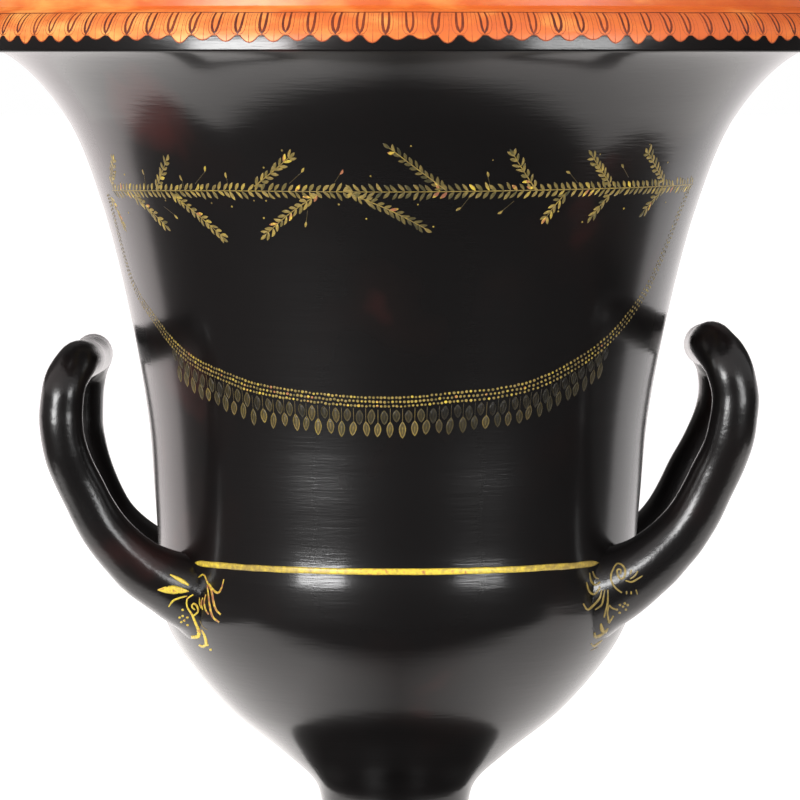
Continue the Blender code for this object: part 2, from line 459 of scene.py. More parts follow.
def black_glaze(name, grain, relief, gloss, thin_spots=()):
    """Black iron glaze laid on with a brush: its gloss is broken up by fine strokes, and thin spots are red.

    The foot is duller than the rest. The grain is how fine the strokes are along each axis, the relief is
    their height in millimetres, and each thin spot has a place and a reach.
    """
    material, tree, shader = new_material(name)
    place = add(tree, "ShaderNodeTexCoord").outputs["Object"]
    strokes = add(tree, "ShaderNodeMapping", {"Vector": place, "Scale": grain})
    bristles = add(
        tree,
        "ShaderNodeTexNoise",
        {"Vector": strokes.outputs[0], "Scale": 1 / (0.8 * MM), "Detail": 3.0, "Roughness": 0.6},
    )
    sweeps = add(
        tree,
        "ShaderNodeTexNoise",
        {"Vector": strokes.outputs[0], "Scale": 1 / (6 * MM), "Detail": 1.0},
    )
    height = add(
        tree,
        "ShaderNodeMath",
        {0: sweeps.outputs[0], 1: 2.0, 2: bristles.outputs[0]},
        operation="MULTIPLY_ADD",
    )
    bump = add(
        tree,
        "ShaderNodeBump",
        {"Height": height.outputs[0], "Strength": 1.0, "Distance": relief * MM},
    )
    tree.links.new(bump.outputs[0], shader.inputs["Normal"])
    clouds = add(tree, "ShaderNodeTexNoise", {"Vector": place, "Scale": 1 / (45 * MM), "Detail": 3.0})
    thinness = clouds.outputs[0]
    for spot, reach in thin_spots:
        away = add(tree, "ShaderNodeVectorMath", {0: place, 1: spot}, operation="DISTANCE")
        near = add(
            tree,
            "ShaderNodeMapRange",
            {"Value": away.outputs["Value"], "From Min": reach, "From Max": 0.0, "To Max": 0.22},
        )
        thinness = add(tree, "ShaderNodeMath", {0: thinness, 1: near.outputs[0]}, operation="ADD").outputs[0]
    tree.links.new(
        colour_ramp(tree, thinness, [(0.5, "#0f0d0d"), (0.62, "#140e0d"), (0.8, "#3a1512")]),
        shader.inputs["Base Color"],
    )
    tree.links.new(bump.outputs[0], shader.inputs["Coat Normal"])
    shader.inputs["Roughness"].default_value = 0.4
    shader.inputs["IOR"].default_value = 1.5
    shader.inputs["Specular IOR Level"].default_value = 0.12
    shader.inputs["Coat Weight"].default_value = 1.0
    level = add(tree, "ShaderNodeSeparateXYZ", {"Vector": place}).outputs["Z"]
    dull = add(
        tree,
        "ShaderNodeMapRange",
        {"Value": level, "From Min": 0.018, "From Max": 0.028, "To Min": 0.5, "To Max": gloss},
    )
    tree.links.new(dull.outputs[0], shader.inputs["Coat Roughness"])
    return material


def orange_slip():
    """Orange clay slip with a low shine: warm, a little cloudy, with painted light making it paler towards
    the left.
    """
    material, tree, shader = new_material("orange_slip")
    place = add(tree, "ShaderNodeTexCoord").outputs["Object"]
    flow = add(tree, "ShaderNodeMapping", {"Vector": place, "Scale": (0.4, 0.4, 1.0)})
    clouds = add(
        tree,
        "ShaderNodeTexNoise",
        {"Vector": flow.outputs[0], "Scale": 1 / (7 * MM), "Detail": 3.0},
    )
    # The hue follows the clouds, a real tone of the slip, and is painted paler towards the left, as painted
    # light from the brighter lamp on that side.
    side = add(tree, "ShaderNodeSeparateXYZ", {"Vector": place}).outputs["X"]
    painted_light_to_left = add(
        tree,
        "ShaderNodeMath",
        {0: side, 1: -1.2, 2: clouds.outputs[0]},
        operation="MULTIPLY_ADD",
    )
    tree.links.new(
        colour_ramp(
            tree, painted_light_to_left.outputs[0], [(0.3, "#d8682f"), (0.5, "#e0722f"), (0.66, "#ee9448"), (0.78, "#f6aa58")]
        ),
        shader.inputs["Base Color"],
    )
    shader.inputs["Roughness"].default_value = 0.34
    shader.inputs["IOR"].default_value = 1.5
    return material


def brush_paint(name, stops, ground, fleck, roughness):
    """Paint from a small brush: each stroke has its own cloudy hue, and thin ones let the ground show."""
    material, tree, shader = new_material(name)
    place = add(tree, "ShaderNodeTexCoord").outputs["Object"]
    tint = add(tree, "ShaderNodeAttribute", attribute_name="tint").outputs["Fac"]
    strength = add(tree, "ShaderNodeAttribute", attribute_name="strength").outputs["Fac"]
    clouds = add(tree, "ShaderNodeTexNoise", {"Vector": place, "Scale": 1 / (fleck * MM), "Detail": 2.0})
    drift = add(tree, "ShaderNodeMapRange", {"Value": clouds.outputs[0], "To Min": -0.35, "To Max": 0.35})
    hue = add(tree, "ShaderNodeMath", {0: tint, 1: drift.outputs[0]}, operation="ADD")
    colour = colour_ramp(tree, hue.outputs[0], stops)
    cover = add(tree, "ShaderNodeMix", {0: strength, 6: linear(ground), 7: colour}, data_type="RGBA")
    tree.links.new(cover.outputs[2], shader.inputs["Base Color"])
    shader.inputs["Roughness"].default_value = roughness
    shader.inputs["IOR"].default_value = 1.5
    return material


THIN_SPOTS = [(pot_point(-46, 118, 264), 0.028), (pot_point(-51, 110, 254), 0.018)]
WALL_GLAZE = black_glaze(
    "brushed_black_glaze", grain=(0.08, 0.08, 1.0), relief=0.036, gloss=0.16, thin_spots=THIN_SPOTS
)
HANDLE_GLAZE = black_glaze("dabbed_black_glaze", grain=(0.5, 0.5, 0.5), relief=0.08, gloss=0.22)
ORANGE_SLIP = orange_slip()
GOLD_HUES = [
    # from olive through yellow to reddish
    (0.0, "#4c4a2c"),
    (0.3, "#84743a"),
    (0.5, "#a48c48"),
    (0.7, "#cfb548"),
    (0.86, "#f6da46"),
    (1.0, "#b8744f"),
]
BROWN_HUES = [(0.0, "#5a1d0c"), (1.0, "#b8501f")]
GOLD_PAINT = brush_paint("gold_enamel", GOLD_HUES, ground="#161313", fleck=1.5, roughness=0.3)
BROWN_PAINT = brush_paint("brown_iron_paint", BROWN_HUES, ground="#e2703a", fleck=2.0, roughness=0.35)

# Pot


def handle_knots(shape, front_out, back_out):
    """The loop's centre line from its front root over the top to its back root, bent by hand."""
    foot_x, foot_z = HANDLE_FOOT
    reach, rise, thickness, tilt = shape
    legs = []
    for turn, shifts in ((-1, front_out), (1, back_out)):
        legs.append([])
        for (x, y, z, r), out in zip(HANDLE_LINE, shifts):
            height = foot_z + (z - foot_z) * rise - tilt * turn * y
            legs[-1].append(Vector((foot_x + (x - foot_x) * reach + out, turn * y, height, r * thickness)))
    return legs[0][:0:-1] + legs[1]


SMEAR = 1.0
SMEAR_REACH = 2.6
LUMP = 0.25
LUMP_SIZE = 9.0
SMEAR_LUMP = 0.5
SMEAR_LUMP_SIZE = 5.0


def handle(name, side, shape, core):
    """A rolled bar of clay bent into a loop, lumpy from the fingers, its ends smeared out onto the wall."""
    points = smooth_through(handle_knots(*shape), HANDLE_STEPS)
    start_modelling()
    bpy.ops.curve.primitive_nurbs_path_add()
    guide = bpy.context.object
    guide.name = name
    curve = guide.data
    curve.splines.clear()
    curve.bevel_depth = MM
    curve.bevel_resolution = 10
    curve.use_fill_caps = True
    spline = curve.splines.new("POLY")
    spline.points.add(len(points) - 1)
    for target, point in zip(spline.points, points):
        target.co = (side * point.x * MM, point.y * MM, point.z * MM, 1.0)
        target.radius = point.w
    bpy.ops.object.convert(target="MESH")
    piece = bpy.context.object
    lean(piece.data)
    line = [Vector((side * p.x + lean_at(p.z), p.y, p.z)) * MM for p in points]
    for vertex in piece.data.vertices:
        centre = min(line, key=lambda p: (p - vertex.co).length_squared)
        out = (vertex.co - centre).normalized()
        z = vertex.co.z / MM
        gap = math.hypot(vertex.co.x / MM - lean_at(z), vertex.co.y / MM) - wall_radius(z)
        smear = math.exp(-max(gap, 0.0) / SMEAR_REACH)
        rough = min(1.0, abs(centre.y) / (50 * MM))
        lump = noise.noise(vertex.co / (LUMP_SIZE * MM)) * LUMP * rough
        lump += noise.noise(vertex.co / (SMEAR_LUMP_SIZE * MM)) * SMEAR_LUMP * smear
        vertex.co += out * (SMEAR * smear + lump) * MM
    piece.data.materials.append(HANDLE_GLAZE)
    cut = piece.modifiers.new("trim", "BOOLEAN")
    cut.operation = "DIFFERENCE"
    cut.solver = "EXACT"
    cut.object = core
    bpy.ops.object.modifier_apply(modifier="trim")
    return piece


vessel = turned("vessel", vessel_profile(), TURNED_SIDES)
vessel.data.materials.append(WALL_GLAZE)
core = turned("core", core_profile(), 64)
for name, side, shape in (("right_handle", 1, RIGHT_HANDLE), ("left_handle", -1, LEFT_HANDLE)):
    loop = handle(name, side, shape, core)
    select_only(vessel)
    union = vessel.modifiers.new(name, "BOOLEAN")
    union.operation = "UNION"
    union.solver = "EXACT"
    union.material_mode = "TRANSFER"
    union.object = loop
    bpy.ops.object.modifier_apply(modifier=name)
    bpy.data.objects.remove(loop)
bpy.data.objects.remove(core)
select_only(vessel)
bpy.ops.object.shade_smooth_by_angle(angle=ARRIS_WALL)
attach(vessel, "root")
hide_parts("krater")

# Orange band

EGGS = 133
EGG_PITCH = math.tau * MOUTH_RADIUS / EGGS
FIRST_EGG = 0.65
LINE_DEPTH = 4.5
NOTCH_DEPTH = 13.1
SCALLOPS_START = 11.5
COAT_OVERHANG = 1.0
BAND_COLUMNS = 8
rng = random.Random(7)
EGG_SHIFTS = [rng.gauss(0, 0.035) for _ in range(EGGS)]
LOBE_DEPTHS = [rng.uniform(14.3, 15.7) for _ in range(EGGS)]


def scallop(share, lobe):
    """How deep the orange reaches at this share of the way between two eggs, where a lobe hangs down."""
    swing = min(max((share - 0.14) / 0.72, 0.0), 1.0)
    return NOTCH_DEPTH + (lobe - NOTCH_DEPTH) * math.sin(math.pi * swing) ** 0.7


def scallop_depth(angle):
    count = (angle - FIRST_EGG) * EGGS / 360
    egg = math.floor(count)
    return scallop(count - egg, LOBE_DEPTHS[egg % EGGS])


def orange_band():
    """The slip's coat over the fascia and the moulding, its lower edge cut in scallops."""
    face = BAND_FACE[:-1] + [BAND_FACE[-2] - Vector((0, COAT_OVERHANG))]
    band = turned("orange_band", face, EGGS * BAND_COLUMNS)
    round_radius = MOUTH_RADIUS - QUARTER_ROUND
    end = BAND_DEPTHS[-2] + COAT_OVERHANG
    for vertex in band.data.vertices:
        z = vertex.co.z / MM
        x = vertex.co.x / MM - lean_at(z)
        y = vertex.co.y / MM
        radius = math.hypot(x, y)
        if z > BAND_TOP + QUARTER_ROUND or radius < round_radius:
            continue
        if z > BAND_TOP:
            turn = math.atan2(z - BAND_TOP, radius - round_radius)
            depth = (math.pi / 2 - turn) * (QUARTER_ROUND - PAINT_ROOM + COAT_RISE)
        else:
            depth = BAND_DEPTHS[-2] + BAND_TOP - z
        if depth <= SCALLOPS_START:
            continue
        angle = math.degrees(math.atan2(x, -y))
        share = (depth - SCALLOPS_START) / (end - SCALLOPS_START)
        depth = SCALLOPS_START + share * (scallop_depth(angle) - SCALLOPS_START)
        vertex.co = band_patch(angle)(0, depth, 0)
    first_face = band.data.polygons[0]
    select_only(band)
    if first_face.normal.dot(first_face.center) < 0:
        bpy.ops.object.mode_set(mode="EDIT")
        bpy.ops.mesh.select_all(action="SELECT")
        bpy.ops.mesh.flip_normals()
        bpy.ops.object.mode_set(mode="OBJECT")
    coat = band.modifiers.new("coat", "SOLIDIFY")
    coat.thickness = COAT * MM
    coat.offset = -1
    bpy.ops.object.modifier_apply(modifier="coat")
    band.data.materials.append(ORANGE_SLIP)
    bpy.ops.object.shade_smooth_by_angle(angle=ARRIS_BAND)
    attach(band, "root")


EGG_SIDE = [(1.0, LINE_DEPTH), (1.05, 8.0), (0.8, 10.8)]
ROUND_EGG_SIDE = [(0.9, LINE_DEPTH), (1.0, 9.0), (0.75, 12.2)]


def hanging_loop(side, half_width, slant, low):
    """A loop that hangs this low; its side is shares of the half-width and depths, from the top down."""
    right = [(half_width * share, depth) for share, depth in side]
    left = [(-x, depth) for x, depth in right]
    knots = left + [(0.0, low)] + right[::-1]
    for end in (0, -1):
        knots[end] = (knots[end][0] - slant, LINE_DEPTH)
    return smooth_through(knots, 4)


orange_band()

eggs = PaintLayer()
for egg in range(EGGS):
    # The egg's dark loop
    place = band_patch(FIRST_EGG + (egg + EGG_SHIFTS[egg]) * 360 / EGGS)
    wide = EGG_PITCH * rng.uniform(0.12, 0.145)
    low = rng.uniform(12.0, 12.8)
    slant = rng.gauss(0, 0.25)
    loop = hanging_loop(EGG_SIDE, wide, slant, low)
    thick = rng.uniform(0.34, 0.46)
    widths = [thick * 0.8, thick, thick * 1.1, thick, thick * 0.8]
    eggs.stroke(place, loop, widths, rng.uniform(0.0, 0.3), sections=16)
    # The fine line round it
    wide = EGG_PITCH * rng.uniform(0.29, 0.33)
    loop = hanging_loop(ROUND_EGG_SIDE, wide, slant, NOTCH_DEPTH - 0.1)
    fine = rng.uniform(0.1, 0.15)
    eggs.stroke(place, loop, [fine] * 5, rng.uniform(0.5, 0.9), 0.85, 0.06, sections=14)
    # The tongue between two eggs, most with a faint line on either side
    lobe = LOBE_DEPTHS[egg]
    middle = EGG_PITCH / 2 + rng.gauss(0, 0.25)
    bow = rng.gauss(0, 0.15)
    line = smooth_through([(middle, LINE_DEPTH), (middle + bow, 9.5), (middle, lobe - 0.2)], 4)
    eggs.stroke(place, line, [0.1, 0.12, 0.1], rng.uniform(0.5, 0.9), 0.8, 0.06, sections=6)
    for side in (-1, 1):
        if rng.random() < 0.6:
            line = [
                (middle + side * 0.09 * EGG_PITCH, LINE_DEPTH),
                (middle + side * 0.1 * EGG_PITCH, 9.0),
                (middle + side * 0.14 * EGG_PITCH, 13.2),
            ]
            eggs.stroke(place, smooth_through(line, 3), [0.09, 0.1, 0.03], 0.9, 0.5, 0.05, sections=5)
    # The scalloped edge
    edge = []
    for step in range(9):
        share = 0.08 + 0.84 * step / 8
        edge.append((share * EGG_PITCH, scallop(share, lobe)))
    unshifted = band_patch(FIRST_EGG + egg * 360 / EGGS)
    widths = [0.06, 0.16, 0.18, 0.16, 0.06]
    eggs.stroke(unshifted, edge, widths, rng.uniform(0.4, 0.8), 0.95, 0.08, sections=8)

# The line that the eggs hang from, with its joint out of sight at the back
RING_JOINT = -150.0
ring_steps = EGGS * 3
ring = []
for step in range(ring_steps + 1):
    ring.append((step * EGG_PITCH / 3, LINE_DEPTH + 0.25 * noise.noise(Vector((step / 9, 0, 0)))))
widths = [0.24 + 0.1 * noise.noise(Vector((step / 7, 5, 0))) for step in range(ring_steps + 1)]
eggs.stroke(band_patch(RING_JOINT), ring, widths, 0.15, 0.95, 0.1, sections=ring_steps)
eggs.finish("egg_and_tongue", BROWN_PAINT)

# Gold work

# Places are degrees round from the front and height.
WREATH_LINE = [(-69.5, 231.5), (-35.0, 232.5), (0.0, 232.5), (35.0, 233.0), (71.0, 233.5)]
WREATH_MEETS = (-9.0, 232.5)
WREATH_BACK = [(angle, 232.5) for angle in (112.0, 130.0, 150.0, 165.0, 180.0)]
WREATH_OPENING = 0.85  # radians between a leaf and its stem
SPRAY_OPENING = 0.55
REDDISH_LEAVES = 0.07
LEAF_SPACING = 2.3
LEAF_LENGTH = 2.95
LEAF_HALF_WIDTH = 0.6
LEAF = [0.1, 0.75, 1.0, 0.8, 0.1]
LEAF_OFFSET = 0.15
SPRAYS = [
    # base and tip
    ((-69.0, 233.0), (-63.0, 243.0)),
    ((-51.5, 232.5), (-45.5, 243.5)),
    ((-27.5, 234.0), (-19.0, 244.5)),
    ((8.0, 233.0), (-3.0, 247.5)),
    ((25.0, 233.0), (19.0, 245.5)),
    ((41.5, 234.0), (34.5, 245.0)),
    ((57.0, 234.5), (48.0, 245.5)),
    ((-72.0, 230.0), (-68.5, 218.5)),
    ((-60.0, 230.5), (-50.5, 219.5)),
    ((-47.5, 231.5), (-35.5, 216.5)),
    ((-15.0, 232.0), (-27.5, 217.5)),
    ((-9.5, 232.0), (5.5, 220.0)),
    ((31.5, 232.0), (27.5, 222.5)),
    ((42.0, 231.5), (38.0, 222.5)),
    ((58.0, 233.0), (52.0, 224.0)),
]
BUDS = [
    ((-40.5, 234.5), (-37.5, 238.5)),
    ((-54.5, 233.5), (-54.0, 237.0)),
    ((-43.5, 233.0), (-43.5, 235.5)),
    ((-33.0, 233.5), (-33.0, 236.5)),
    ((-20.5, 235.0), (-18.0, 238.5)),
    ((-12.0, 235.5), (-11.0, 238.0)),
    ((16.0, 234.5), (15.5, 237.0)),
    ((33.5, 235.0), (31.5, 238.0)),
    ((45.5, 236.5), (43.5, 239.5)),
    ((-50.5, 227.0), (-48.0, 224.5)),
    ((-17.5, 226.5), (-18.0, 223.0)),
    ((12.5, 231.0), (11.0, 227.5)),
    ((21.0, 229.5), (19.0, 226.5)),
]
BERRIES = [
    (-64.5, 224.5),
    (-61.0, 237.0),
    (-49.5, 229.0),
    (-37.5, 228.5),
    (-33.0, 227.5),
    (-28.0, 229.5),
    (-25.5, 229.5),
    (-25.0, 240.0),
    (-21.0, 245.5),
    (-26.5, 224.0),
    (-5.5, 237.5),
    (-11.5, 228.5),
    (-6.5, 224.0),
    (1.5, 247.0),
    (3.0, 228.5),
    (6.0, 221.5),
    (16.0, 242.5),
    (37.0, 244.0),
    (30.5, 226.0),
    (36.5, 222.5),
    (48.5, 247.0),
    (56.0, 241.0),
    (46.5, 226.5),
    (60.0, 228.0),
]


def wall_line(knots, steps=8):
    """Points along the wall, as (degrees, height), and the run to each in millimetres."""
    points = smooth_through(knots, steps)
    runs = [0.0]
    for a, b in zip(points, points[1:]):
        across = math.radians(b.x - a.x) * wall_radius((a.y + b.y) / 2)
        runs.append(runs[-1] + math.hypot(across, b.y - a.y))
    return points, runs


def direction_at(points, runs, run):
    """Which way the line heads at this run, in radians from rightwards towards up."""
    ahead = between(runs, points, min(run + 1.0, runs[-1]))
    behind = between(runs, points, max(run - 1.0, 0.0))
    return math.atan2(ahead.y - behind.y, math.radians(ahead.x - behind.x) * wall_radius(ahead.y))


def wall_stroke(layer, knots, outline, *look, sections=8, steps=8, **more):
    """A stroke whose line is given in degrees and heights on the wall."""
    points, runs = wall_line(knots, steps)
    middle = between(runs, points, runs[-1] / 2)
    here = wall_radius(middle.y)
    line = [(math.radians(p.x - middle.x) * here, p.y - middle.y) for p in points]
    layer.stroke(wall_patch(middle.x, middle.y), line, outline, *look, sections=sections, **more)


def leaf(layer, angle, z, heading, length, half_width, tint, strength):
    """One dab of the brush, from its base outwards, a little bent."""
    bend = rng.gauss(0, 0.12)
    tip = (length * math.cos(heading), length * math.sin(heading))
    belly = (length * 0.5 * math.cos(heading + bend), length * 0.5 * math.sin(heading + bend))
    outline = [w * half_width for w in LEAF]
    line = smooth_through([(0, 0), belly, tip], 3)
    layer.stroke(wall_patch(angle, z), line, outline, tint, strength, 0.06, 5)


def leaf_look(angle):
    """Hue and cover of the gold here: thin and olive near the front, brighter to the left."""
    shade = math.exp(-(((angle - 4) / 9) ** 2))
    tint = 0.36 + 0.08 * (angle < -12) - 0.14 * shade + rng.gauss(0, 0.1)
    if rng.random() < REDDISH_LEAVES:
        tint = rng.uniform(0.93, 1.0)
    return tint, min(1.0, 0.86 - 0.25 * shade + rng.gauss(0, 0.06))


def leafy(layer, knots, opening, size=1.0, ended=True):
    """A stem with pairs of leaves along it, and one more leaf at its tip where it is ended."""
    points, runs = wall_line(knots)
    sections = max(4, int(runs[-1] / 3))
    wall_stroke(layer, knots, [0.2, 0.18, 0.12], 0.5, 0.75, height=0.04, sections=sections)
    run = LEAF_SPACING * 0.4
    reach = runs[-1] - (LEAF_LENGTH * size * 0.8 if ended else 0.0)
    while run < reach:
        spot = between(runs, points, run)
        heading = direction_at(points, runs, run)
        for side in (-1, 1):
            angle = spot.x + math.degrees(-side * LEAF_OFFSET * math.sin(heading) / wall_radius(spot.y))
            z = spot.y + side * LEAF_OFFSET * math.cos(heading)
            tint, strength = leaf_look(spot.x)
            leaf(
                layer,
                angle,
                z,
                heading + side * (opening + rng.gauss(0, 0.1)),
                LEAF_LENGTH * size * rng.uniform(0.85, 1.12),
                LEAF_HALF_WIDTH * size * rng.uniform(0.85, 1.15),
                tint,
                strength,
            )
        run += LEAF_SPACING * size * rng.uniform(0.9, 1.1)
    if ended:
        last = between(runs, points, reach)
        tint, strength = leaf_look(last.x)
        heading = direction_at(points, runs, reach)
        leaf(layer, last.x, last.y, heading, LEAF_LENGTH * size, LEAF_HALF_WIDTH, tint, strength)


def berry(layer, angle, z, radius, tint, strength):
    line = [(-radius, 0.0), (radius, 0.0)]
    outline = [radius * w for w in (0.3, 0.87, 1.0, 0.87, 0.3)]
    layer.stroke(wall_patch(angle, z), line, outline, tint, strength, 0.07, 4)


wreath = PaintLayer()
left_half = [place for place in WREATH_LINE if place[0] < WREATH_MEETS[0]] + [WREATH_MEETS]
right_half = [place for place in WREATH_LINE[::-1] if place[0] > WREATH_MEETS[0]] + [WREATH_MEETS]
leafy(wreath, left_half, WREATH_OPENING)
leafy(wreath, right_half, WREATH_OPENING, ended=False)
for base, tip in SPRAYS:
    bow = 0.6 if tip[1] < base[1] else -0.3
    middle = ((base[0] + tip[0]) / 2, (base[1] + tip[1]) / 2 + bow)
    leafy(wreath, [base, middle, tip], SPRAY_OPENING, size=0.92)
for base, tip in BUDS:
    wall_stroke(wreath, [base, tip], [0.07, 0.08, 0.09], 0.4, 0.28, height=0.04, sections=4)
    tint, strength = leaf_look(tip[0])
    heading = math.atan2(tip[1] - base[1], math.radians(tip[0] - base[0]) * wall_radius(tip[1]))
    leaf(wreath, tip[0], tip[1], heading + rng.gauss(0, 0.3), 1.9, 0.45, tint + 0.2, strength)
for angle, z in BERRIES:
    berry(wreath, angle, z, rng.uniform(0.25, 0.37), rng.uniform(0.5, 0.7), rng.uniform(0.5, 0.9))
leafy(wreath, WREATH_BACK, WREATH_OPENING)
leafy(wreath, [(360.0 - angle, z) for angle, z in WREATH_BACK], WREATH_OPENING, ended=False)
wreath.finish("wreath", GOLD_PAINT)

# Necklace

NECKLACE_LINE = [
    (-72.5, 230.0),
    (-73.5, 218.0),
    (-73.0, 206.0),
    (-70.0, 199.0),
    (-63.0, 191.0),
    (-56.0, 183.0),
    (-49.5, 178.0),
    (-42.0, 174.5),
    (-33.5, 171.0),
    (-24.0, 169.0),
    (-13.5, 167.5),
    (0.0, 167.0),
    (12.5, 168.5),
    (21.5, 169.5),
    (30.5, 172.0),
    (40.0, 177.5),
    (48.0, 183.5),
    (53.5, 189.5),
    (60.5, 200.0),
    (64.0, 208.5),
    (67.0, 221.5),
    (68.5, 232.0),
]
BEAD_ROWS = 3
ROW_SPACING = 1.4
PENDANT_PITCH = 3.95
PENDANTS_START = -58.0
PENDANTS_FADE = 7.0
PENDANTS_END = 51.0


def pendant_cover(angle):
    """How strong the pendants are here: bright left of the front, thin to the right, fading to both ends."""
    if angle > PENDANTS_FADE:
        return 0.24 + 0.1 * rng.random() + (0.25 if rng.random() < 0.15 else 0)
    return 0.42 + 0.3 * math.exp(-(((angle + 14) / 22) ** 2)) + rng.uniform(-0.1, 0.12)


def seed(layer, angle, z, length, half_width, tint, cover):
    """A pendant drawn with the tip of the brush: a pointed oval with a second line inside."""
    place = wall_patch(angle, z)
    tilt = rng.gauss(0, 0.06)

    def turned_down(points):
        return [(x + y * tilt, -y) for x, y in points]

    fill = turned_down([(0, 0.3), (0, length - 0.3)])
    widths = [0.1, half_width * 0.9, half_width, half_width * 0.8, 0.1]
    layer.stroke(place, fill, widths, tint - 0.1, cover * 0.4, 0.04, 6)
    outline = smooth_through(
        [
            (0, 0),
            (half_width * 0.8, length * 0.25),
            (half_width, length * 0.55),
            (0, length),
            (-half_width, length * 0.55),
            (-half_width * 0.8, length * 0.25),
            (0, 0),
        ],
        3,
    )
    layer.stroke(place, turned_down(outline), [0.15, 0.16, 0.2, 0.16, 0.15], tint, cover, 0.09, 14)
    inner = turned_down([(0.05, length * 0.3), (-0.05, length * 0.75)])
    layer.stroke(place, inner, [0.1, 0.16, 0.1], tint, cover * 0.9, 0.08, 3)


def bead_row(layer, knots, row, step):
    """Dots along the line, this many rows under it, the distance from each to the next given by step."""
    points, runs = wall_line(knots)
    run = row * 0.4
    while run < runs[-1]:
        spot = between(runs, points, run)
        heading = direction_at(points, runs, run)
        drop = row * ROW_SPACING + rng.gauss(0, 0.07)
        angle = spot.x + math.degrees(drop * math.sin(heading) / wall_radius(spot.y))
        z = spot.y - drop * math.cos(heading)
        steep = min(1.0, abs(math.sin(heading)))
        tint = 0.5 + rng.gauss(0, 0.1) if rng.random() > 0.05 else 0.95
        radius = rng.uniform(0.36, 0.5)
        berry(layer, angle, z, radius, tint, 0.88 - 0.5 * steep + rng.uniform(-0.1, 0.1))
        run += step(spot.x) * rng.uniform(0.9, 1.12)


def front_step(angle):
    return 1.2 if angle < 0 else 1.2 + 0.3 * min(1.0, angle / 20)


def back_step(angle):
    return 1.4


necklace = PaintLayer()
for row in range(BEAD_ROWS):
    bead_row(necklace, NECKLACE_LINE, row, front_step)
points, runs = wall_line(NECKLACE_LINE)
run = 0.0
count = 0
while run < runs[-1]:
    spot = between(runs, points, run)
    run += PENDANT_PITCH / 2
    if not PENDANTS_START < spot.x < PENDANTS_END:
        continue
    count += 1
    cover = pendant_cover(spot.x)
    tint = rng.uniform(0.26, 0.54) if spot.x < PENDANTS_FADE else rng.uniform(0.15, 0.4)
    under = spot.y - BEAD_ROWS * ROW_SPACING + 0.6 + rng.gauss(0, 0.25)
    length = rng.uniform(4.1, 5.3)
    if count % 2:
        seed(necklace, spot.x, under - 0.4, length - 0.4, 1.05, tint - 0.1, cover * rng.uniform(0.35, 0.8))
    else:
        thread = [(spot.x, under), (spot.x, under - 4.4)]
        wall_stroke(necklace, thread, [0.1] * 3, tint, cover * 0.5, height=0.05, sections=4)
        seed(necklace, spot.x, under - 4.3, length, rng.uniform(0.9, 1.1), tint, cover)
back_necklace = [(180.0 + angle, z) for angle, z in NECKLACE_LINE[2:-2]]
for row in range(BEAD_ROWS):
    bead_row(necklace, back_necklace, row, back_step)
necklace.finish("necklace", GOLD_PAINT)

# Line round the bowl's shoulder

GOLD_LINE_HEIGHT = 111.2
GOLD_LINE_HALF_WIDTH = 1.02
GOLD_LINE_ENDS = ((-56.2, 55.6), (124.0, 236.0))
GOLD_LINE_HUES = [0.8, 0.56, 0.66, 0.82, 0.83, 0.76, 0.56, 0.44]
GOLD_LINE_KNOTS = 91
WAVER = 0.12
lines = PaintLayer()
for start, end in GOLD_LINE_ENDS:
    knots = []
    outline = []
    for i in range(GOLD_LINE_KNOTS):
        angle = start + (end - start) * i / (GOLD_LINE_KNOTS - 1)
        knots.append((angle, GOLD_LINE_HEIGHT + WAVER * noise.noise(Vector((i / 6, 2, 0)))))
        outline.append(GOLD_LINE_HALF_WIDTH + WAVER * noise.noise(Vector((i / 3, 9, start))))
    outline[:3] = [0.25, 0.7, 0.95]
    outline[-3:] = [0.9, 0.6, 0.15]
    wall_stroke(
        lines, knots, outline, GOLD_LINE_HUES, 1.0, height=0.08, sections=GOLD_LINE_KNOTS - 1, steps=1
    )
lines.finish("gold_line", GOLD_PAINT)

# Palmettes at the handles' lower roots

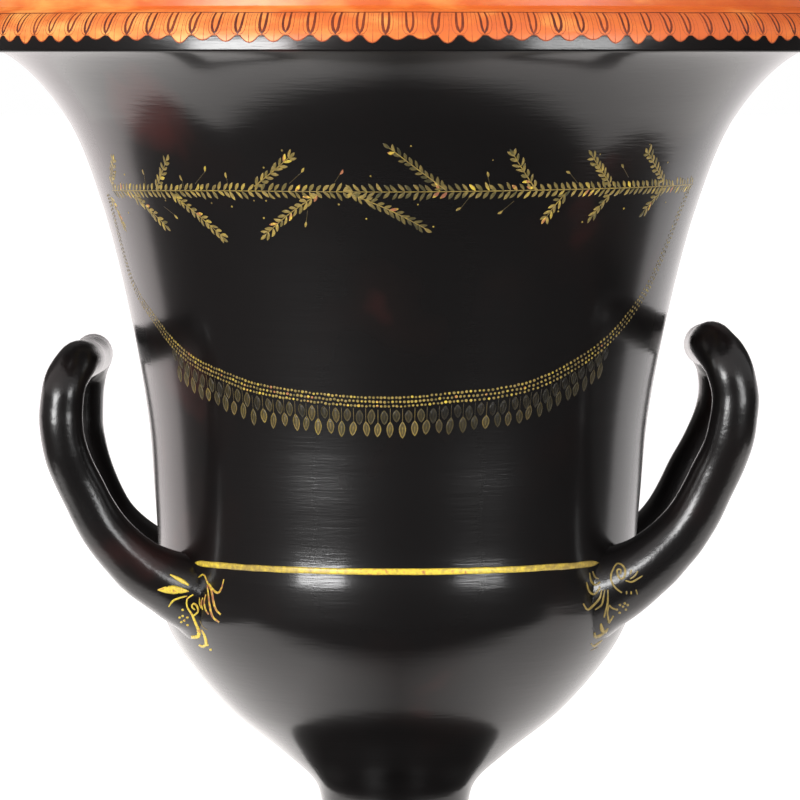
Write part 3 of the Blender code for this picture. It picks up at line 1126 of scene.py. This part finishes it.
# Each is drawn as seen from the front and a little above, and laid on whatever of the pot is behind it.
START_AT = 200.0
DRAWN_AT = 45.0
GLANCE = 0.087
LEFT_ROOT = (-67.0, 99.5)
RIGHT_ROOT = (69.0, 100.5)
BRIGHT = 0.84
REDDISH = 0.94
OLIVE = 0.45
LEFT_PALMETTE = [
    # a line in millimetres from the root, its half-widths, hue and cover
    ([(-10.5, 3), (-5, 3), (-0.5, 2.5)], [0.2, 1.1, 1.45, 1.0, 0.2], BRIGHT, 1.0),
    ([(-6.5, 8), (-2, 5.5), (-0.5, 4.5)], [0.2, 0.6, 0.7, 0.3], BRIGHT, 0.95),
    ([(-7, -2.5), (-5.5, -0.5), (-3, 0.5), (-1, 1)], [0.2, 0.35, 0.3, 0.2], BRIGHT, 0.9),
    ([(1, 1.5), (-1, 0), (-1, -2.5), (0.5, -5), (1.5, -7.5), (2.5, -10), (2.5, -12), (1.5, -12.5),
      (0, -12.5)], [0.25, 0.25, 0.3, 0.4, 0.5, 0.7, 0.6], BRIGHT, 0.95),
    ([(3.5, -10), (4.5, -12), (5, -14.5), (4, -15.5), (2.5, -15)], [0.25, 0.5, 0.6, 0.3], BRIGHT, 0.9),
    ([(1, -5.5), (2.5, -4), (2, -2), (1, -1.5), (0.5, -2.5), (1.5, -3.5)], [0.3, 0.35, 0.25], BRIGHT, 0.85),
    ([(4.5, 8), (5.5, 5.5), (7, 2.5), (7.5, -0.5), (8.5, -3.5), (10, -5)],
     [0.2, 0.35, 0.4, 0.3], REDDISH, 0.85),
    ([(6, 5), (7.5, 3), (9, 2), (10, 3), (11, 6.5)], [0.3, 0.4, 0.3, 0.15], REDDISH, 0.8),
    ([(5.5, 4.5), (6, 0.5), (6.5, -3), (7.5, -6), (9.5, -7.5)], [0.2, 0.3, 0.4, 0.3], REDDISH, 0.85),
    ([(5, 1.5), (4.5, -1), (5, -3.5), (6, -5)], [0.2, 0.3, 0.25], REDDISH, 0.8),
    ([(4, 0.5), (3.5, -1.5), (4, -3.5)], [0.2, 0.3, 0.2], REDDISH, 0.75),
    ([(3, 0.5), (3, -1.5), (3.5, -3)], [0.2, 0.25, 0.2], BRIGHT, 0.7),
    ([(2.5, 7), (4, 8), (4.5, 7.5)], [0.2, 0.3, 0.2], BRIGHT, 0.7),
    ([(3, -7), (4, -9), (5.5, -10)], [0.15, 0.2, 0.15], OLIVE, 0.5),
]
RIGHT_PALMETTE = [
    ([(1, 9.5), (2, 10.5), (3.5, 10), (4.5, 8), (4, 6), (3, 5.5), (2, 7), (2, 8.5), (3, 8.5), (3, 7)],
     [0.25, 0.35, 0.35, 0.25], OLIVE, 0.85),
    ([(1, 9.5), (0, 7), (0, 5), (1.5, 2.5), (3.5, 1)], [0.25, 0.35, 0.25], OLIVE, 0.85),
    ([(6, 7), (6.5, 8.5)], [0.2, 0.35, 0.2], OLIVE, 0.8),
    ([(6, 5.5), (7.5, 6.5), (8.5, 8)], [0.2, 0.35, 0.25], OLIVE, 0.8),
    ([(4.5, 5), (6.5, 4.5), (8.5, 5.5), (10, 6.5)], [0.2, 0.35, 0.2], OLIVE, 0.8),
    ([(5, 1.5), (5, 0.5)], [0.2, 0.3, 0.2], OLIVE, 0.75),
    ([(6.5, 1.5), (6.5, 0.5)], [0.2, 0.3, 0.2], OLIVE, 0.75),
    ([(8, 2), (8.5, 0.5)], [0.2, 0.3, 0.2], OLIVE, 0.75),
    ([(-6, 8), (-5, 6), (-4, 5.5)], [0.2, 0.35, 0.2], OLIVE, 0.7),
    ([(-7, 7.5), (-6.5, 5), (-5, 3.5), (-3.5, 4.5)], [0.2, 0.4, 0.3], OLIVE, 0.8),
    ([(-8, 4.5), (-7, 1.5), (-5.5, 0.5), (-4, 2), (-3.5, 3)], [0.2, 0.4, 0.3], OLIVE, 0.8),
    ([(-3, 2), (-3.5, -0.5), (-5.5, -3), (-7.5, -4.5), (-9, -2.5)], [0.2, 0.4, 0.4, 0.25], OLIVE, 0.85),
    ([(-2, 2), (-2.5, -1), (-3, -3), (-5, -4.5)], [0.2, 0.35, 0.25], OLIVE, 0.8),
    ([(-1, 2), (-1, -2), (-1.5, -4.5), (-2, -7)], [0.2, 0.35, 0.25], OLIVE, 0.8),
    ([(-0.5, -3), (-1, -5.5), (-0.5, -8), (-0.5, -9), (1, -6.5)], [0.2, 0.35, 0.3], OLIVE, 0.8),
    ([(-0.5, -3), (0.5, -4), (2, -4.5)], [0.2, 0.3, 0.2], OLIVE, 0.75),
    ([(-3, -9), (-2.5, -11), (-1.5, -12), (-0.5, -10.5)], [0.3, 0.7, 0.6, 0.2], OLIVE, 0.9),
    ([(-5, -12), (-4.5, -13.5), (-3, -13), (-1, -11.5)], [0.3, 0.6, 0.5, 0.2], OLIVE, 0.85),
    ([(-6, -15.5), (-5, -16.5), (-4, -16), (-2, -14.5)], [0.2, 0.45, 0.4, 0.2], OLIVE, 0.8),
    ([(-6, -18), (-5, -17.5), (-3.5, -17)], [0.1, 0.2, 0.15], OLIVE, 0.4),
]
LEFT_DOTS = [
    (-2.5, -3.5), (-2.5, -5.5), (-3.5, -6), (-3, -7.5), (-2, -7),
    (-1, -8.5), (-1, -6), (5.5, -15), (6.5, -16.5),
]
RIGHT_DOTS = [(4, -3.5), (3, -3), (4.5, -2.5), (5.5, -3), (5, -4.5), (3, -5.5), (2, -4.5)]
POT_SKIN = BVHTree.FromObject(vessel, bpy.context.evaluated_depsgraph_get())


def root_patch(root, turn):
    """Gives points laid on wall or handle where the front shows them, or with a turn of -1, at the back."""

    def place(right, up, off):
        x = root[0] + right
        z = root[1] + up
        spot = Vector((turn * x + lean_at(z), -turn * DRAWN_AT, z)) * MM
        glance = Vector((0, turn, -GLANCE))
        hit, normal, _, _ = POT_SKIN.ray_cast(spot - glance * START_AT * MM, glance)
        if hit is None:
            hit, normal, _, _ = POT_SKIN.find_nearest(spot)
        return hit + normal * off * MM

    return place


palmettes = PaintLayer()
for turn in (1, -1):
    for root, strokes, dots, hue in (
        (LEFT_ROOT, LEFT_PALMETTE, LEFT_DOTS, BRIGHT),
        (RIGHT_ROOT, RIGHT_PALMETTE, RIGHT_DOTS, OLIVE),
    ):
        place = root_patch(root, turn)
        for line, outline, tint, strength in strokes:
            palmettes.stroke(place, smooth_through(line, 4), outline, tint, strength, 0.08, 4 * len(line))
        for x, z in dots:
            palmettes.stroke(place, [(x - 0.4, z), (x + 0.4, z)], [0.2, 0.4, 0.4, 0.2], hue, 0.85, 0.08, 4)
palmettes.finish("palmettes", GOLD_PAINT)

# Stage


def stage_plane(name, corners, z):
    """A flat face of the stage at this height, with its own material."""
    mesh = bpy.data.meshes.new(name)
    mesh.from_pydata([(x, y, z) for x, y in corners], [], [tuple(range(len(corners)))])
    obj = bpy.data.objects.new(name, mesh)
    bpy.context.scene.collection.objects.link(obj)
    material, tree, shader = new_material(name)
    mesh.materials.append(material)
    return obj, tree, shader


REACH = 25.0
FLOOR_DROP = 0.0002
floor_edge = [(-REACH, -REACH), (REACH, -REACH), (REACH, REACH), (-REACH, REACH)]
floor, _, paper = stage_plane("floor", floor_edge, -FLOOR_DROP)
paper.inputs["Base Color"].default_value = linear("#f4f4f4")
paper.inputs["Roughness"].default_value = 0.9
paper.inputs["Specular IOR Level"].default_value = 0.0
paper.inputs["Emission Color"].default_value = (1, 1, 1, 1)
paper.inputs["Emission Strength"].default_value = 0.6
floor.visible_glossy = False

# A glowing white board just under the floor's level, which only the gloss shows: its glow is painted bright
# at the sides, with painted shade in the middle and towards its front edge, where the pot shades the table.
BOARD_DROP = 0.033
BOARD_FRONT = -0.165
BOARD_FADE = 0.08
MIDDLE_GLOW = 0.5
LEFT_GLOW = 1.65
LEFT_RISE = -13.0
RIGHT_GLOW = 1.26
RIGHT_RISE = 8.0
board_edge = [(-0.55, 0.6), (-0.47, 0.2), (-0.33, 0.06), (-0.33, BOARD_FRONT)]
board_edge += [(0.45, BOARD_FRONT), (0.46, 0.06), (0.6, 0.25), (0.6, 0.6)]
board, tree, shader = stage_plane("board", board_edge, -BOARD_DROP)
tree.nodes.remove(shader)
across = add(tree, "ShaderNodeSeparateXYZ", {"Vector": add(tree, "ShaderNodeTexCoord").outputs["Object"]})
glows = []
for rise, most in ((LEFT_RISE, LEFT_GLOW), (RIGHT_RISE, RIGHT_GLOW)):
    rising = add(
        tree,
        "ShaderNodeMath",
        {0: across.outputs["X"], 1: rise, 2: MIDDLE_GLOW},
        operation="MULTIPLY_ADD",
    )
    glows.append(add(tree, "ShaderNodeMath", {0: rising.outputs[0], 1: most}, operation="MINIMUM").outputs[0])
sides = add(tree, "ShaderNodeMath", {0: glows[0], 1: glows[1]}, operation="MAXIMUM")
# Painted shade: the glow fades towards the board's front edge.
front = add(
    tree,
    "ShaderNodeMapRange",
    {"Value": across.outputs["Y"], "From Min": BOARD_FRONT, "From Max": BOARD_FRONT + BOARD_FADE},
    interpolation_type="SMOOTHSTEP",
)
glow = add(tree, "ShaderNodeMath", {0: sides.outputs[0], 1: front.outputs[0]}, operation="MULTIPLY")
light = add(tree, "ShaderNodeEmission", {"Color": (1, 0.96, 0.94, 1), "Strength": glow.outputs[0]})
tree.links.new(light.outputs[0], tree.nodes["Material Output"].inputs["Surface"])
board.visible_camera = False
board.visible_diffuse = False
board.visible_transmission = False
board.visible_shadow = False

# The room that the gloss shows: white behind the pot and brighter to the left, dark in front of it, with a
# pale ceiling. The camera itself sees plain white.
WHITE_BEHIND = 1.27
WHITE_TO_LEFT = -0.29
DARK_IN_FRONT = 0.07
DARK_TO_LEFT = -0.05
SHADE_STARTS = math.radians(60)  # off the back, at eye level
SHADE_LEANS = math.radians(18)
SHADE_ENDS = math.radians(62)
CEILING = 0.5
world = bpy.data.worlds.new("studio")
bpy.context.scene.world = world
world.use_nodes = True
tree = world.node_tree
tree.nodes.clear()
direction = add(tree, "ShaderNodeTexCoord").outputs["Generated"]
split = add(tree, "ShaderNodeSeparateXYZ", {"Vector": direction})
azimuth = add(tree, "ShaderNodeMath", {0: split.outputs["X"], 1: split.outputs["Y"]}, operation="ARCTAN2")
off_back = add(tree, "ShaderNodeMath", {0: azimuth.outputs[0]}, operation="ABSOLUTE")
side_white = add(
    tree,
    "ShaderNodeMath",
    {0: split.outputs["X"], 1: WHITE_TO_LEFT, 2: WHITE_BEHIND},
    operation="MULTIPLY_ADD",
)
level = add(
    tree,
    "ShaderNodeMapRange",
    {"Value": split.outputs["Z"], "From Max": 0.15, "To Min": 1.0, "To Max": 0.55},
)
white = add(tree, "ShaderNodeMath", {0: side_white.outputs[0], 1: level.outputs[0]}, operation="MULTIPLY")
dark = add(
    tree,
    "ShaderNodeMath",
    {0: split.outputs["X"], 1: DARK_TO_LEFT, 2: DARK_IN_FRONT},
    operation="MULTIPLY_ADD",
)
shade_edge = add(
    tree,
    "ShaderNodeMath",
    {0: split.outputs["Z"], 1: SHADE_LEANS, 2: SHADE_STARTS},
    operation="MULTIPLY_ADD",
)
ramp = add(
    tree,
    "ShaderNodeMapRange",
    {
        "Value": off_back.outputs[0],
        "From Min": shade_edge.outputs[0],
        "From Max": SHADE_ENDS,
        "To Min": white.outputs[0],
        "To Max": dark.outputs[0],
    },
    interpolation_type="SMOOTHSTEP",
)
up = add(
    tree,
    "ShaderNodeMapRange",
    {"Value": split.outputs["Z"], "From Min": 0.6, "From Max": 0.9, "To Min": 0.0, "To Max": CEILING},
    interpolation_type="SMOOTHSTEP",
)
both = add(tree, "ShaderNodeMath", {0: ramp.outputs[0], 1: up.outputs[0]}, operation="MAXIMUM")
warmth = add(tree, "ShaderNodeMapRange", {"Value": split.outputs["X"], "From Min": -1.0, "From Max": 1.0})
hue = add(
    tree,
    "ShaderNodeMix",
    {0: warmth.outputs[0], 6: (1.0, 0.91, 0.9, 1.0), 7: (1.0, 0.98, 0.98, 1.0)},
    data_type="RGBA",
)
studio = add(tree, "ShaderNodeBackground", {"Color": hue.outputs[2], "Strength": both.outputs[0]})
backdrop = add(tree, "ShaderNodeBackground", {"Color": (1, 1, 1, 1), "Strength": 1.0})
to_camera = add(tree, "ShaderNodeLightPath").outputs["Is Camera Ray"]
either = add(tree, "ShaderNodeMixShader", {0: to_camera, 1: studio.outputs[0], 2: backdrop.outputs[0]})
add(tree, "ShaderNodeOutputWorld", {"Surface": either.outputs[0]})


def area_light(name, place, target, size, radiance):
    """A rectangular lamp of this brightness, aimed at a point."""
    data = bpy.data.lights.new(name, "AREA")
    data.shape = "RECTANGLE"
    data.size, data.size_y = size
    data.energy = radiance * math.pi * size[0] * size[1]
    lamp = bpy.data.objects.new(name, data)
    bpy.context.scene.collection.objects.link(lamp)
    lamp.location = place
    lamp.rotation_euler = (Vector(target) - Vector(place)).to_track_quat("-Z", "Y").to_euler()
    lamp.visible_camera = False
    return lamp


# Two tall softboxes light the paint and the floor. In the gloss stand, in their place, a low bright sheen and
# a long dim glow over it, on each side.
SOFTBOX_SIZE = (0.6, 1.6)
LAMP_DISTANCE = -1.48
SHEEN_SIZE = (0.72, 0.32)
GLOW = (0.38, (1.25, 0.12), 0.35)  # height, size and share of the sheen's brightness
for side, x, brightness in (("left", -1.3, 8.5), ("right", 1.3, 4.4)):
    fill = area_light(side + "_softbox", (x, -1.45, 1.3), (0, 0, 1.0), SOFTBOX_SIZE, brightness)
    fill.visible_glossy = False
for side, x, height, brightness in (("left", -1.08, 0.155, 23.0), ("right", 1.2, 0.18, 11.0)):
    for name, z, size, share in (("_sheen", height, SHEEN_SIZE, 1.0), ("_glow", *GLOW)):
        lamp = area_light(side + name, (x, LAMP_DISTANCE, z), (0, 0, z), size, brightness * share)
        lamp.visible_diffuse = False

# Camera: far off and a little above, looking down to the pot's middle

AXIS_X = -0.00036
CAMERA_TURN = math.radians(0.3)
CAMERA_DISTANCE = 2.03
CAMERA_HEIGHT = 0.276
AIM_HEIGHT = 0.1615
camera_data = bpy.data.cameras.new("camera")
camera = bpy.data.objects.new("camera", camera_data)
bpy.context.scene.collection.objects.link(camera)
camera_data.lens = 276.8
camera_data.sensor_width = 36
camera_data.clip_end = 50
camera.location = (
    AXIS_X - CAMERA_DISTANCE * math.sin(CAMERA_TURN),
    -CAMERA_DISTANCE * math.cos(CAMERA_TURN),
    CAMERA_HEIGHT,
)
aim = Vector((AXIS_X, 0, AIM_HEIGHT)) - camera.location
camera.rotation_euler = aim.to_track_quat("-Z", "Y").to_euler()
bpy.context.scene.camera = camera
bpy.context.scene.view_settings.view_transform = "Standard"
